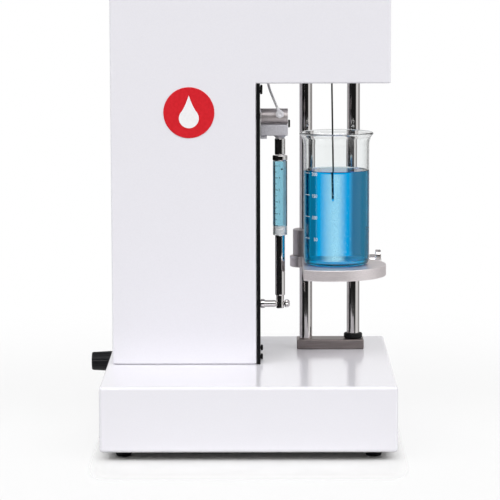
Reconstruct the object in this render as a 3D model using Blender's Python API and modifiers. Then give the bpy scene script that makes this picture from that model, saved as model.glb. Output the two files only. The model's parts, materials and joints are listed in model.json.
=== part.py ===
"""A motor-driven syringe burette with a lifting platform and a sample beaker.

Sizes and places are in millimetres, and the helpers turn them into metres. X runs to the right, Y to the
back and Z up, from the middle of the base's footprint on the surface that the feet stand on. The empty
named rig moves everything so that the world's origin is under the middle of the whole object's box.
"""

import math

import bmesh
import bpy

MM = 0.001
GAP = 0.3
SHEET = 2.0
SIDES = 24
TINY_SIDES = 12

# Base
BASE_WIDTH, BASE_DEPTH, BASE_HEIGHT = 260.0, 280.0, 58.0
FOOT_HEIGHT, FOOT_RADIUS, FOOT_INSET = 8.0, 7.75, 20.0
DECK = FOOT_HEIGHT + BASE_HEIGHT
REAR_REACH = 2.0

# Speed knob
KNOB_REACH, KNOB_ROOT_RADIUS, KNOB_TIP_RADIUS = 20.5, 9.7, 8.6
KNOB_Y, KNOB_Z = 83.0, DECK - 14.7

# Tower and its overhanging head
TOWER_LEFT, TOWER_RIGHT, HEAD_RIGHT = -124.6, 6.8, 128.1
TOWER_FRONT, TOWER_BACK = -24.0, 136.0
HEAD_BOTTOM, TOWER_TOP = DECK + 256.0, DECK + 381.0

# Side plate
PLATE_LEFT, PLATE_RIGHT, PLATE_BACK = TOWER_RIGHT + GAP, 10.3, 50.0

# Syringe and its drive, all on one vertical plane
SYRINGE_X, SYRINGE_Y = 28.5, 13.0
STROKE = 57.0
PIN_Z = DECK + 50.8
BARREL_BOTTOM, BARREL_TOP = DECK + 114.7, DECK + 183.0
BARREL_RADIUS, BORE_RADIUS = 6.6, 5.3
ROD_RADIUS, EYE_RADIUS = 4.5, 3.55
SCREW_X, ROD_SPACING = -20.0, 22.0
SHAFT_RADIUS, SHAFT_BORE = 4.0, 4.0 + GAP
BEARING_RADIUS, MOTOR_HALF_WIDTH = 11.0, 21.1
EYE_BORE, SCREW_SHANK_RADIUS = 1.9, 1.55
THUMB_SCREW_LEFT = 18.0
DRIVE_BOTTOM, DRIVE_TOP = 82.0, 234.0

# Valve
VALVE_Z, VALVE_RADIUS, VALVE_RIGHT = DECK + 224.0, 7.0, 35.7
ROTOR_RADIUS, ROTOR_BORE = 3.2, 3.5
BRACKET_BOTTOM, BRACKET_TOP = DECK + 206.6, DECK + 216.4
FITTING = (28.4, 1.8, DECK + 226.8)
SPIGOT_LEAN = math.radians(22.8)
TUBE_RADIUS = 1.05

# Columns
COLUMN_X, COLUMN_Y, COLUMN_RADIUS = (53.1, 97.7), 70.0, 6.0
COLUMN_TOP = HEAD_BOTTOM + 21.0
COLUMN_BORE = COLUMN_RADIUS + GAP

# Platform
PLATFORM_X, PLATFORM_Y, PLATFORM_RADIUS = 76.4, 9.0, 49.5
PLATFORM_BOTTOM, PLATFORM_TOP = DECK + 78.1, DECK + 88.2
PLATFORM_FLAT_X, LOBE_RADIUS = 49.3, 15.0
CLAMP_SHANK_RADIUS = 2.5

# Beaker
BEAKER_X, BEAKER_Y = 80.2, 9.0
BEAKER_HEIGHT, BEAKER_RADIUS, BEAKER_WALL = 120.0, 30.15, 1.7
LIQUID_TOP = DECK + 174.6

# Capillary, from its fitting in the head down to its tip
CAPILLARY_TOP, CAPILLARY_TIP = (75.6, 9.0, HEAD_BOTTOM + 14.0), (77.6, 9.0, DECK + 149.0)
CAPILLARY_RADIUS, CAPILLARY_CHANNEL_RADIUS = 0.6, 2.6

ALONG = {
    "X": (0, math.pi / 2, 0),
    "-X": (0, -math.pi / 2, 0),
    "Y": (-math.pi / 2, 0, 0),
    "-Y": (math.pi / 2, 0, 0),
    "Z": (0, 0, 0),
}


# ------------------------------------------------------------------ helpers


def clear_scene():
    for obj in list(bpy.data.objects):
        bpy.data.objects.remove(obj, do_unlink=True)


def collection(name):
    made = bpy.data.collections.new(name)
    bpy.context.scene.collection.children.link(made)
    return made


def paint(name, colour, roughness, metallic=0.0, transmission=0.0):
    material = bpy.data.materials.new(name)
    material.use_nodes = True
    shader = material.node_tree.nodes["Principled BSDF"]
    shader.inputs["Base Color"].default_value = (*colour, 1)
    shader.inputs["Roughness"].default_value = roughness
    shader.inputs["Metallic"].default_value = metallic
    shader.inputs["Transmission Weight"].default_value = transmission
    material.diffuse_color = (*colour, 1)
    return material


def add(name, data, material, at=(0, 0, 0), turn=(0, 0, 0)):
    """Puts a mesh or a curve into the assembly as a part of its own."""
    data.materials.append(material)
    obj = bpy.data.objects.new(name, data)
    PARTS.objects.link(obj)
    obj.parent = RIG
    obj.location = [value * MM for value in at]
    obj.rotation_euler = turn
    return obj


def bevel(obj, width, segments=2, angle=40):
    modifier = obj.modifiers.new("rounded_edges", "BEVEL")
    modifier.width = width * MM
    modifier.segments = segments
    modifier.limit_method = "ANGLE"
    modifier.angle_limit = math.radians(angle)
    return obj


def block(name, low, high, material):
    """A rectangular piece between two opposite corners."""
    shape = bmesh.new()
    bmesh.ops.create_cube(shape, size=1)
    size = [(top - bottom) * MM for bottom, top in zip(low, high)]
    bmesh.ops.scale(shape, vec=size, verts=shape.verts)
    mesh = bpy.data.meshes.new(name)
    shape.to_mesh(mesh)
    shape.free()
    middle = [(top + bottom) / 2 for bottom, top in zip(low, high)]
    return add(name, mesh, material, middle)


def turned(name, profile, material, at, axis="Z", sides=SIDES, ring=False):
    """A turned piece. Its profile is (radius, height), running down the outer side."""
    edges = [(step, step + 1) for step in range(len(profile) - 1)]
    if ring:
        edges.append((len(profile) - 1, 0))
    mesh = bpy.data.meshes.new(name)
    mesh.from_pydata([(radius * MM, 0, height * MM) for radius, height in profile], edges, [])
    obj = add(name, mesh, material, at, ALONG[axis])
    screw = obj.modifiers.new("turn", "SCREW")
    screw.steps = sides
    screw.render_steps = sides
    screw.use_merge_vertices = True
    screw.merge_threshold = 0.00001
    return obj


def pin(name, radius, length, material, at, axis="Z", sides=SIDES):
    """A plain round piece that starts at a point and runs along an axis."""
    profile = [(0, length), (radius, length), (radius, 0), (0, 0)]
    return turned(name, profile, material, at, axis, sides)


def sleeve(name, outer, inner, length, material, at, axis="Z", sides=SIDES):
    """A round piece with a hole right through it."""
    profile = [(outer, length), (outer, 0), (inner, 0), (inner, length)]
    return turned(name, profile, material, at, axis, sides, ring=True)


def mesh_of(curve, name):
    """The solid of a curve, with its caps joined to its sides."""
    guide = bpy.data.objects.new(name + "_guide", curve)
    bpy.context.scene.collection.objects.link(guide)
    graph = bpy.context.evaluated_depsgraph_get()
    mesh = bpy.data.meshes.new_from_object(guide.evaluated_get(graph))
    bpy.data.objects.remove(guide)
    shape = bmesh.new()
    shape.from_mesh(mesh)
    bmesh.ops.remove_doubles(shape, verts=shape.verts, dist=0.000001)
    bmesh.ops.dissolve_limit(shape, angle_limit=0.01, verts=shape.verts, edges=shape.edges)
    bmesh.ops.recalc_face_normals(shape, faces=shape.faces)
    shape.to_mesh(mesh)
    shape.free()
    return mesh


def prism(name, outlines, low, high, material, axis="Z"):
    """A flat piece of one outer outline, with any further outlines as holes, between two planes.

    Outlines are in XY for axis Z, in XZ for axis Y and in YZ for axis X.
    """
    curve = bpy.data.curves.new(name, "CURVE")
    curve.dimensions = "2D"
    curve.fill_mode = "BOTH"
    curve.extrude = (high - low) / 2 * MM
    for outline in outlines:
        spline = curve.splines.new("POLY")
        spline.points.add(len(outline) - 1)
        for point, (across, along) in zip(spline.points, outline):
            point.co = (across * MM, along * MM, 0, 1)
        spline.use_cyclic_u = True
    turns = {"X": (math.pi / 2, 0, math.pi / 2), "Y": (math.pi / 2, 0, 0), "Z": (0, 0, 0)}
    middle = (high + low) / 2
    at = [middle if letter == axis else 0 for letter in "XYZ"]
    return add(name, mesh_of(curve, name), material, at, turns[axis])


def rectangle(left, bottom, right, top):
    return [(left, bottom), (right, bottom), (right, top), (left, top)]


def arc(centre, radius, start, end, steps):
    """Points along an arc, its angles in degrees."""
    angles = [math.radians(start + (end - start) * step / steps) for step in range(steps + 1)]
    return [
        (centre[0] + radius * math.cos(angle), centre[1] + radius * math.sin(angle))
        for angle in angles
    ]


def circle(centre, radius, sides=SIDES):
    return arc(centre, radius, 0, 360, sides)[:-1]


def slot(centre, half_length, radius, sides=6):
    """A slot with round ends that runs along the outline's second direction."""
    across, along = centre
    top = arc((across, along + half_length), radius, 0, 180, sides)
    bottom = arc((across, along - half_length), radius, 180, 360, sides)
    return top + bottom


def combine(obj, operation, tools):
    for tool in tools:
        for group in list(tool.users_collection):
            group.objects.unlink(tool)
        CUTTERS.objects.link(tool)
        tool.hide_render = True
        tool.display_type = "WIRE"
        modifier = obj.modifiers.new(tool.name, "BOOLEAN")
        modifier.operation = operation
        modifier.object = tool
    return obj


def cut(obj, *tools):
    return combine(obj, "DIFFERENCE", tools)


def join(obj, *tools):
    return combine(obj, "UNION", tools)


# ------------------------------------------------------------------ base


def build_base():
    half_width, half_depth = BASE_WIDTH / 2, BASE_DEPTH / 2
    housing = bevel(
        block("base_housing", (-half_width, -half_depth, FOOT_HEIGHT), (half_width, half_depth, DECK), WHITE),
        2.6,
    )
    inner_low = (SHEET - half_width, SHEET - half_depth, FOOT_HEIGHT - 5)
    inner_high = (half_width - SHEET, half_depth - SHEET, DECK - SHEET)
    cut(
        housing,
        block("base_room", inner_low, inner_high, WHITE),
        pin("base_cable_hole", 14, 12, WHITE, (-70, 60, DECK - 8)),
        pin("base_knob_hole", 5.4, 8, WHITE, (5 - half_width, KNOB_Y, KNOB_Z), "-X", TINY_SIDES),
        block("inlet_window", (-104, half_depth - 5, 26), (-74, half_depth + 5, 48), WHITE),
        block("switch_window", (-60, half_depth - 5, 28), (-40, half_depth + 5, 46), WHITE),
        block("signal_window", (60, half_depth - 5, 31), (80, half_depth + 5, 43), WHITE),
    )
    edge = SHEET + GAP
    block(
        "base_plate",
        (edge - half_width, edge - half_depth, FOOT_HEIGHT),
        (half_width - edge, half_depth - edge, FOOT_HEIGHT + SHEET),
        STEEL,
    )


def build_feet():
    profile = [(0, 7.7), (FOOT_RADIUS, 7.7), (FOOT_RADIUS, 5.5), (6.9, 0.8), (6.2, 0), (0, 0)]
    reach_x = BASE_WIDTH / 2 - FOOT_INSET
    reach_y = BASE_DEPTH / 2 - FOOT_INSET - FOOT_RADIUS
    for end, y in (("front", -reach_y), ("rear", reach_y)):
        for side, x in (("left", -reach_x), ("right", reach_x)):
            turned(f"foot_{end}_{side}", profile, RUBBER, (x, y, 0))


def build_electrics():
    floor = FOOT_HEIGHT + SHEET + GAP
    supply = block("power_supply", (18, -20, floor), (112, 110, floor + 34), STEEL)
    join(supply, block("supply_terminals", (30, 105, floor + 4), (100, 122, floor + 18), BLACK))
    board = block("main_board", (-112, -110, floor + 6), (-8, 90, floor + 7.6), GREEN)
    join(
        board,
        block("heat_sink", (-100, -80, floor + 7), (-70, -10, floor + 30), BLACK),
        block("board_socket_left", (-60, 60, floor + 7), (-35, 80, floor + 17), BLACK),
        block("board_socket_right", (-45, -100, floor + 7), (-15, -92, floor + 17), BLACK),
        block("board_chip", (-55, -40, floor + 7), (-30, -15, floor + 10), BLACK),
        *[
            pin(f"board_leg_{count}", 3, 7, STEEL, (x, y, floor), "Z", TINY_SIDES)
            for count, (x, y) in enumerate(((-106, -104), (-14, -104), (-106, 84), (-14, 84)))
        ],
    )


def build_rear_connections():
    back = BASE_DEPTH / 2
    face = back + REAR_REACH
    inlet = block("mains_inlet", (-107, back + GAP, 23.5), (-71, face, 50.5), BLACK)
    join(inlet, block("inlet_body", (-103.5, back - 16, 26.5), (-74.5, back + 1, 47.5), BLACK))
    cut(inlet, block("inlet_cavity", (-101, back - 13, 29), (-77, face + 2, 45), BLACK))
    blades = [
        block(f"inlet_blade_{count}", (x - 1, back - 14, z - 2), (x + 1, back - 1, z + 2), STEEL)
        for count, (x, z) in enumerate(((-96, 35), (-89, 39.5), (-82, 35)))
    ]
    join(inlet, *blades)

    frame = block("switch_frame", (-63, back + GAP, 25), (-37, face, 49), BLACK)
    join(frame, block("switch_body", (-59.5, back - 14, 28.5), (-40.5, back + 1, 45.5), BLACK))
    cut(frame, block("switch_cavity", (-58, back - 9, 29.4), (-42, face + 2, 44.6), BLACK))
    profile = [(-2.5, -6.4), (-2.5, 6.4), (1.2, 7.0), (2.4, 0), (1.2, -7.0)]
    rocker = prism("power_rocker", [profile], -7.7, 7.7, BLACK, "X")
    rocker.location = (-50 * MM, (back - 0.5) * MM, 37 * MM)
    rocker.rotation_euler.rotate_axis("Z", math.radians(-10))

    socket = block("signal_socket", (54.5, back + GAP, 30), (85.5, back + 1.4, 44), STEEL)
    join(
        socket,
        block("signal_body", (60.5, back - 10, 31.5), (79.5, back + 1, 42.5), BLACK),
        block("signal_collar", (61.5, back, 33), (78.5, face, 41), STEEL),
    )
    cut(socket, block("signal_mouth", (62.5, back - 5, 34), (77.5, face + 2, 40), STEEL))


def build_control():
    wall = -BASE_WIDTH / 2
    knob_profile = [
        (0, KNOB_REACH),
        (KNOB_TIP_RADIUS - 1.6, KNOB_REACH),
        (KNOB_TIP_RADIUS - 0.4, KNOB_REACH - 0.7),
        (KNOB_TIP_RADIUS, KNOB_REACH - 2),
        (KNOB_ROOT_RADIUS, 1.6),
        (KNOB_ROOT_RADIUS - 0.8, 0.8),
        (3.4, 0.8),
        (3.4, 15),
        (0, 15),
    ]
    at = (wall, KNOB_Y, KNOB_Z)
    turned("speed_knob", knob_profile, BLACK, at, "-X", 32)
    pin("control_shaft", 3.0, 32, STEEL, (wall + 18, KNOB_Y, KNOB_Z), "-X", TINY_SIDES)
    body = [(12, -4), (12, -16), (3.4, -16), (3.4, 0.2), (5.0, 0.2), (5.0, -4)]
    turned("control_potentiometer", body, STEEL, at, "-X", TINY_SIDES, ring=True)


# ------------------------------------------------------------------ tower


def tower_outline(inset, bottom):
    """The upside-down L of the tower and its head, drawn in by a margin all round."""
    left, top = TOWER_LEFT + inset, TOWER_TOP - inset
    inner, right, step = TOWER_RIGHT - inset, HEAD_RIGHT - inset, HEAD_BOTTOM + inset
    return [(left, bottom), (inner, bottom), (inner, step), (right, step), (right, top), (left, top)]


def build_tower():
    foot = DECK + GAP
    housing = prism("tower_housing", [tower_outline(0, foot)], TOWER_FRONT, TOWER_BACK, WHITE, "Y")
    bevel(housing, 1.4)
    room = prism(
        "tower_room", [tower_outline(SHEET, DECK - 8)], TOWER_FRONT + SHEET, TOWER_BACK + 8, WHITE, "Y"
    )
    corner_low = (TOWER_RIGHT, TOWER_FRONT - 2, HEAD_BOTTOM - 4)
    corner_high = (TOWER_RIGHT + 4, TOWER_BACK + 2, HEAD_BOTTOM)
    cut(
        housing,
        room,
        block("drive_window", (0, -14, 80), (12, 40, HEAD_BOTTOM - 12), WHITE),
        block("square_corner", corner_low, corner_high, WHITE),
        *[
            pin(f"column_hole_{count}", 6.6, 8, WHITE, (x, COLUMN_Y, HEAD_BOTTOM - 3))
            for count, x in enumerate(COLUMN_X)
        ],
        pin("capillary_hole", 3.0, 8, WHITE, (CAPILLARY_TOP[0], CAPILLARY_TOP[1], HEAD_BOTTOM - 3)),
        pin("tube_hole", 2.4, 8, WHITE, (17.4, FITTING[1], HEAD_BOTTOM - 3), "Z", TINY_SIDES),
    )
    vents = [
        slot((x, z), 9, 1.5, 3)
        for z in (TOWER_TOP - 40, DECK + 40)
        for x in range(-100, -19, 10)
    ]
    inset = SHEET + GAP
    prism(
        "rear_cover",
        [tower_outline(inset, foot), *vents],
        TOWER_BACK - GAP - SHEET,
        TOWER_BACK - GAP,
        WHITE,
        "Y",
    )


def build_side_plate():
    outline = rectangle(TOWER_FRONT, DECK + GAP, PLATE_BACK, HEAD_BOTTOM - GAP)
    drive_slot = slot((SYRINGE_Y, PIN_Z + STROKE / 2), STROKE / 2 + 1, 3.6)
    valve_hole = circle((SYRINGE_Y, VALVE_Z), 3.9, TINY_SIDES)
    plate = prism("side_plate", [outline, drive_slot, valve_hole], PLATE_LEFT, PLATE_RIGHT, BLACK, "X")
    profile = [(0, 2.2), (2.0, 2.2), (2.8, 1.4), (2.8, GAP), (1.5, GAP), (1.5, -3.0), (0, -3.0)]
    holes = []
    for level, z in (("lower", DECK + 5.5), ("upper", HEAD_BOTTOM - 7.5)):
        for end, y in (("front", TOWER_FRONT + 12), ("rear", PLATE_BACK - 12)):
            turned(f"side_screw_{level}_{end}", profile, BLACK, (PLATE_RIGHT, y, z), "X", TINY_SIDES)
            holes.append(
                pin(f"side_hole_{level}_{end}", 1.9, 8, BLACK, (PLATE_LEFT - 2, y, z), "X", TINY_SIDES)
            )
    cut(plate, *holes)


# ------------------------------------------------------------------ syringe drive


def build_drive_frame():
    back, front, wall, arm = -46.0, 2.0, 5.0, 8.0
    rest = DRIVE_TOP - 28
    outline = [
        (back, DRIVE_BOTTOM),
        (front, DRIVE_BOTTOM),
        (front, DRIVE_BOTTOM + arm),
        (back + wall, DRIVE_BOTTOM + arm),
        (back + wall, rest - arm),
        (front, rest - arm),
        (front, rest),
        (back + wall, rest),
        (back + wall, DRIVE_TOP - 4),
        (front, DRIVE_TOP - 4),
        (front, DRIVE_TOP),
        (back, DRIVE_TOP),
    ]
    frame = prism("drive_frame", [outline], SYRINGE_Y - 29, SYRINGE_Y + 29, ALUMINIUM, "Y")
    height = rest - DRIVE_BOTTOM
    cutters = [
        pin("rod_hole_front", SHAFT_BORE, height, STEEL, (SCREW_X, SYRINGE_Y - ROD_SPACING, DRIVE_BOTTOM + 2)),
        pin("rod_hole_rear", SHAFT_BORE, height, STEEL, (SCREW_X, SYRINGE_Y + ROD_SPACING, DRIVE_BOTTOM + 2)),
        pin("bearing_hole", BEARING_RADIUS + GAP, height + 4, STEEL, (SCREW_X, SYRINGE_Y, DRIVE_BOTTOM - 2)),
        pin("coupling_hole", BEARING_RADIUS + GAP, 10, STEEL, (SCREW_X, SYRINGE_Y, DRIVE_TOP - 8)),
    ]
    cut(frame, *cutters)

    for name, z in (("lower_bearing", DRIVE_BOTTOM + 0.5), ("upper_bearing", rest - arm + 0.5)):
        sleeve(name, BEARING_RADIUS, SHAFT_BORE, 7, STEEL, (SCREW_X, SYRINGE_Y, z))
    for end, side in (("front", -1), ("rear", 1)):
        place = (SCREW_X, SYRINGE_Y + side * ROD_SPACING, DRIVE_BOTTOM + 2.3)
        pin(f"guide_rod_{end}", SHAFT_RADIUS, height - 4, STEEL, place, "Z", TINY_SIDES)


def build_drive_motor():
    screw_top = DRIVE_TOP - 18
    length = screw_top - DRIVE_BOTTOM - 1
    pin("lead_screw", SHAFT_RADIUS, length, STEEL, (SCREW_X, SYRINGE_Y, DRIVE_BOTTOM + 1), "Z", 16)
    coupling = [
        (0, 36),
        (2.5, 36),
        (2.5, 20),
        (9.5, 20),
        (9.5, 0),
        (SHAFT_BORE, 0),
        (SHAFT_BORE, 12),
        (0, 12),
    ]
    turned("motor_coupling", coupling, ALUMINIUM, (SCREW_X, SYRINGE_Y, DRIVE_TOP - 26), "Z", 16)
    low = (SCREW_X - MOTOR_HALF_WIDTH, SYRINGE_Y - MOTOR_HALF_WIDTH, DRIVE_TOP + GAP)
    high = (SCREW_X + MOTOR_HALF_WIDTH, SYRINGE_Y + MOTOR_HALF_WIDTH, DRIVE_TOP + 34)
    motor = bevel(block("drive_motor", low, high, BLACK), 3, 1)
    cut(motor, pin("motor_shaft_hole", 3, 16, BLACK, (SCREW_X, SYRINGE_Y, DRIVE_TOP - 4), "Z", TINY_SIDES))


def build_carriage():
    low = (-38, SYRINGE_Y - 29, PIN_Z - 12)
    high = (2, SYRINGE_Y + 29, PIN_Z + 12)
    carriage = bevel(block("carriage", low, high, ALUMINIUM), 1, 1)
    bottom = PIN_Z - 16
    cut(
        carriage,
        pin("nut_bore", 7.3, 36, STEEL, (SCREW_X, SYRINGE_Y, bottom)),
        pin("rod_bore_front", SHAFT_BORE, 36, STEEL, (SCREW_X, SYRINGE_Y - ROD_SPACING, bottom)),
        pin("rod_bore_rear", SHAFT_BORE, 36, STEEL, (SCREW_X, SYRINGE_Y + ROD_SPACING, bottom)),
    )
    nut = [(7, 22), (7, 3.4), (11, 3.4), (11, 0), (SHAFT_BORE, 0), (SHAFT_BORE, 22)]
    turned("drive_nut", nut, BRASS, (SCREW_X, SYRINGE_Y, PIN_Z - 15.7), "Z", SIDES, ring=True)

    start = 2 + GAP
    pin_profile = [
        (EYE_BORE, 24.6 - start),
        (2.7, 24.6 - start),
        (3.15, 24.1 - start),
        (3.15, 14.3 - start),
        (4.2, 14.0 - start),
        (4.2, 10.6 - start),
        (3.15, 10.6 - start),
        (3.15, 0),
        (0, 0),
        (0, 17.5 - start),
        (EYE_BORE, 17.5 - start),
    ]
    turned("drive_pin", pin_profile, CHROME, (start, SYRINGE_Y, PIN_Z), "X", SIDES, ring=True)
    thumb = [
        (0, 19.5),
        (2.4, 19.4),
        (3.3, 18.7),
        (3.65, 17.8),
        (3.65, 14.9),
        (3.1, 14.3),
        (SCREW_SHANK_RADIUS, 14.3),
        (SCREW_SHANK_RADIUS, 0),
        (0, 0),
    ]
    turned("plunger_screw", thumb, CHROME, (THUMB_SCREW_LEFT, SYRINGE_Y, PIN_Z), "X", SIDES)


def build_plunger():
    eye_bottom, rod_bottom, rod_top = PIN_Z - 4.3, DECK + 58.5, BARREL_BOTTOM - 0.1
    profile = [
        (0, rod_top),
        (ROD_RADIUS - 0.4, rod_top),
        (ROD_RADIUS, rod_top - 0.5),
        (ROD_RADIUS, rod_bottom + 0.6),
        (ROD_RADIUS - 0.5, rod_bottom),
        (EYE_RADIUS, rod_bottom),
        (EYE_RADIUS, eye_bottom + 0.4),
        (EYE_RADIUS - 0.4, eye_bottom),
        (0, eye_bottom),
    ]
    rod = turned("plunger_rod", profile, CHROME, (SYRINGE_X, SYRINGE_Y, 0))
    cut(rod, pin("eye_hole", EYE_BORE, 12, CHROME, (SYRINGE_X - 6, SYRINGE_Y, PIN_Z), "X", TINY_SIDES))
    seal = [(0, 8.2), (4.7, 8.2), (5.0, 7.6), (5.0, 2.4), (4.1, 0), (0, 0)]
    turned("plunger_seal", seal, PTFE, (SYRINGE_X, SYRINGE_Y, rod_top + GAP))


def build_syringe():
    length = BARREL_TOP - BARREL_BOTTOM
    at = (SYRINGE_X, SYRINGE_Y)
    sleeve("syringe_barrel", BARREL_RADIUS, BORE_RADIUS, length, GLASS, (*at, BARREL_BOTTOM))
    collar_bottom = BARREL_TOP + GAP
    collar = [(6.85, 5.1), (6.85, 0.4), (6.5, 0), (1.5, 0), (1.5, 5.1)]
    turned("syringe_collar", collar, BLACK, (*at, collar_bottom), ring=True)
    neck = [(4.85, 15.2), (4.85, 0), (1.5, 0), (1.5, 15.2)]
    turned("syringe_neck", neck, BLACK, (*at, collar_bottom + 5.1 + GAP), ring=True)


# ------------------------------------------------------------------ valve


def build_valve():
    left = PLATE_RIGHT + GAP
    place = (left, SYRINGE_Y, VALVE_Z)
    body = bevel(pin("valve_body", VALVE_RADIUS, VALVE_RIGHT - left, ALUMINIUM, place, "X", 32), 0.5, 1)
    bore = pin("valve_bore", ROTOR_BORE, 24.5, ALUMINIUM, (left - 2, SYRINGE_Y, VALVE_Z), "X")
    cut(body, bore)
    pin("valve_rotor", ROTOR_RADIUS, 39, CERAMIC, (-7, SYRINGE_Y, VALVE_Z), "X")

    low = (left, SYRINGE_Y - 8, BRACKET_BOTTOM)
    bracket = bevel(block("valve_bracket", low, (VALVE_RIGHT, SYRINGE_Y + 8, BRACKET_TOP), ALUMINIUM), 0.6, 1)
    heel_low = (left, SYRINGE_Y - 6, BRACKET_BOTTOM - 3)
    nub = [(0, 4), (6.4, 4), (6.4, 2.4), (5.2, 1.4), (4.2, 0.2), (4.0, 0), (0, 0)]
    join(
        bracket,
        block("bracket_heel", heel_low, (left + 5.9, SYRINGE_Y + 6, BRACKET_BOTTOM + 1), ALUMINIUM),
        turned("bracket_nub", nub, ALUMINIUM, (SYRINGE_X, SYRINGE_Y, BRACKET_BOTTOM - 2.4)),
    )
    head = [(0, 2.1), (3.0, 2.1), (3.6, 1.5), (3.6, GAP), (0, GAP)]
    turned("valve_clamp_screw", head, BLACK, (VALVE_RIGHT, SYRINGE_Y, BRACKET_TOP + 0.8), "X", 16)

    flange_left = -1.0
    motor = pin("valve_motor", 11.5, 33, BLACK, (flange_left - 33, SYRINGE_Y, VALVE_Z), "X")
    flange_low = (flange_left - 0.5, SYRINGE_Y - 13, VALVE_Z - 13)
    join(motor, block("motor_flange", flange_low, (2, SYRINGE_Y + 13, VALVE_Z + 13), ALUMINIUM))
    cut(motor, pin("valve_motor_hole", ROTOR_BORE, 16, BLACK, (-10, SYRINGE_Y, VALVE_Z), "X"))


def build_tube_fitting():
    x, y, z = FITTING
    profile = [(0, 7.2), (2.2, 7.2), (2.2, 6.4), (3.5, 6.4), (3.9, 5.8), (3.9, 0), (0, 0)]
    fitting = turned("tube_fitting", profile, PTFE, (x, y + 3.6, z), "-Y", 12)
    spigot = pin("fitting_spigot", 1.7, 6.2, PTFE, FITTING, "Z", TINY_SIDES)
    spigot.rotation_euler = (0, -SPIGOT_LEAN, 0)
    join(fitting, spigot)


def smooth_path(points, steps):
    """A smooth curve through points (Catmull-Rom), with a few steps between each two."""
    padded = [points[0], *points, points[-1]]
    path = []
    for before, start, end, after in zip(padded, padded[1:], padded[2:], padded[3:]):
        for step in range(steps):
            part = step / steps
            path.append(
                [
                    0.5
                    * (
                        2 * b
                        + (c - a) * part
                        + (2 * a - 5 * b + 4 * c - d) * part**2
                        + (3 * b - a - 3 * c + d) * part**3
                    )
                    for a, b, c, d in zip(before, start, end, after)
                ]
            )
    path.append(list(points[-1]))
    return path


def wire(name, path, radius, material):
    """A round tube or wire along a path."""
    curve = bpy.data.curves.new(name, "CURVE")
    curve.dimensions = "3D"
    curve.bevel_depth = radius * MM
    curve.bevel_resolution = 2
    curve.use_fill_caps = True
    spline = curve.splines.new("POLY")
    spline.points.add(len(path) - 1)
    for point, place in zip(spline.points, path):
        point.co = (*[value * MM for value in place], 1)
    return add(name, curve, material)


def build_sample_tube():
    x, y, z = FITTING
    lean, rise = math.sin(SPIGOT_LEAN), math.cos(SPIGOT_LEAN)
    points = [
        (x - 6.6 * lean, y, z + 6.6 * rise),
        (x - 14 * lean, y, z + 14 * rise),
        (19.0, y, z + 23.0),
        (17.2, y, HEAD_BOTTOM + 4),
        (18.0, y, HEAD_BOTTOM + 22),
        (26.0, y, HEAD_BOTTOM + 38),
        (42.0, y, HEAD_BOTTOM + 45),
        (54.4, y, HEAD_BOTTOM + 46),
    ]
    wire("sample_tube", smooth_path(points, 4), TUBE_RADIUS, CLEAR)


# ------------------------------------------------------------------ sampling head


def build_sensor():
    x, y, z = CAPILLARY_TOP
    low = (54.8, y - 20, HEAD_BOTTOM + 24)
    high = (97, y + 20, HEAD_BOTTOM + 68)
    sensor = bevel(block("sensor_block", low, high, ALUMINIUM), 1.5, 1)
    lens = pin("sensor_lamp_tube", 8, 20, BLACK, (90, y, HEAD_BOTTOM + 46), "X")
    join(sensor, lens)
    fitting = [(4.5, 16), (4.5, 7), (5.8, 7), (5.8, 0), (1.5, 0), (1.5, 16)]
    turned("capillary_fitting", fitting, PTFE, (x, y, HEAD_BOTTOM + 7.5), ring=True, sides=16)
    wire("capillary", [CAPILLARY_TOP, CAPILLARY_TIP], CAPILLARY_RADIUS, STEEL)
    board = block("sensor_board", (14, 98, HEAD_BOTTOM + 12), (118, 99.6, HEAD_BOTTOM + 108), GREEN)
    join(
        board,
        block("sensor_connector", (60, 88, HEAD_BOTTOM + 30), (84, 98.5, HEAD_BOTTOM + 38), BLACK),
        block("sensor_chip", (40, 95, HEAD_BOTTOM + 60), (62, 98.5, HEAD_BOTTOM + 82), BLACK),
        block("sensor_shield", (76, 90, HEAD_BOTTOM + 56), (108, 98.5, HEAD_BOTTOM + 90), STEEL),
    )


def build_columns():
    foot_low = (44.6, COLUMN_Y - 11, DECK + GAP)
    foot_high = (107.6, COLUMN_Y + 12, DECK + 9.3)
    foot = bevel(block("column_foot", foot_low, foot_high, ALUMINIUM), 0.6, 1)
    head_low = (43, COLUMN_Y - 12, HEAD_BOTTOM + SHEET + GAP)
    head = block("column_head_block", head_low, (108, COLUMN_Y + 12, COLUMN_TOP + 2), ALUMINIUM)
    for side, x in zip(("left", "right"), COLUMN_X):
        place = (x, COLUMN_Y, DECK + 2)
        cut(foot, pin(f"foot_bore_{side}", COLUMN_BORE, 12, ALUMINIUM, place, "Z", 32))
        cut(head, pin(f"head_bore_{side}", COLUMN_BORE, 30, ALUMINIUM, (x, COLUMN_Y, COLUMN_TOP - 25), "Z", 32))
        start = (x, COLUMN_Y, place[2] + GAP)
        pin(f"column_{side}", COLUMN_RADIUS, COLUMN_TOP - start[2], CHROME, start, "Z", 32)
    ring = (COLUMN_X[1], COLUMN_Y, DECK + 9.6)
    sleeve("stop_ring", 8.7, COLUMN_BORE, 4.9, RUBBER, ring, "Z", 32)


# ------------------------------------------------------------------ platform and beaker


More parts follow.
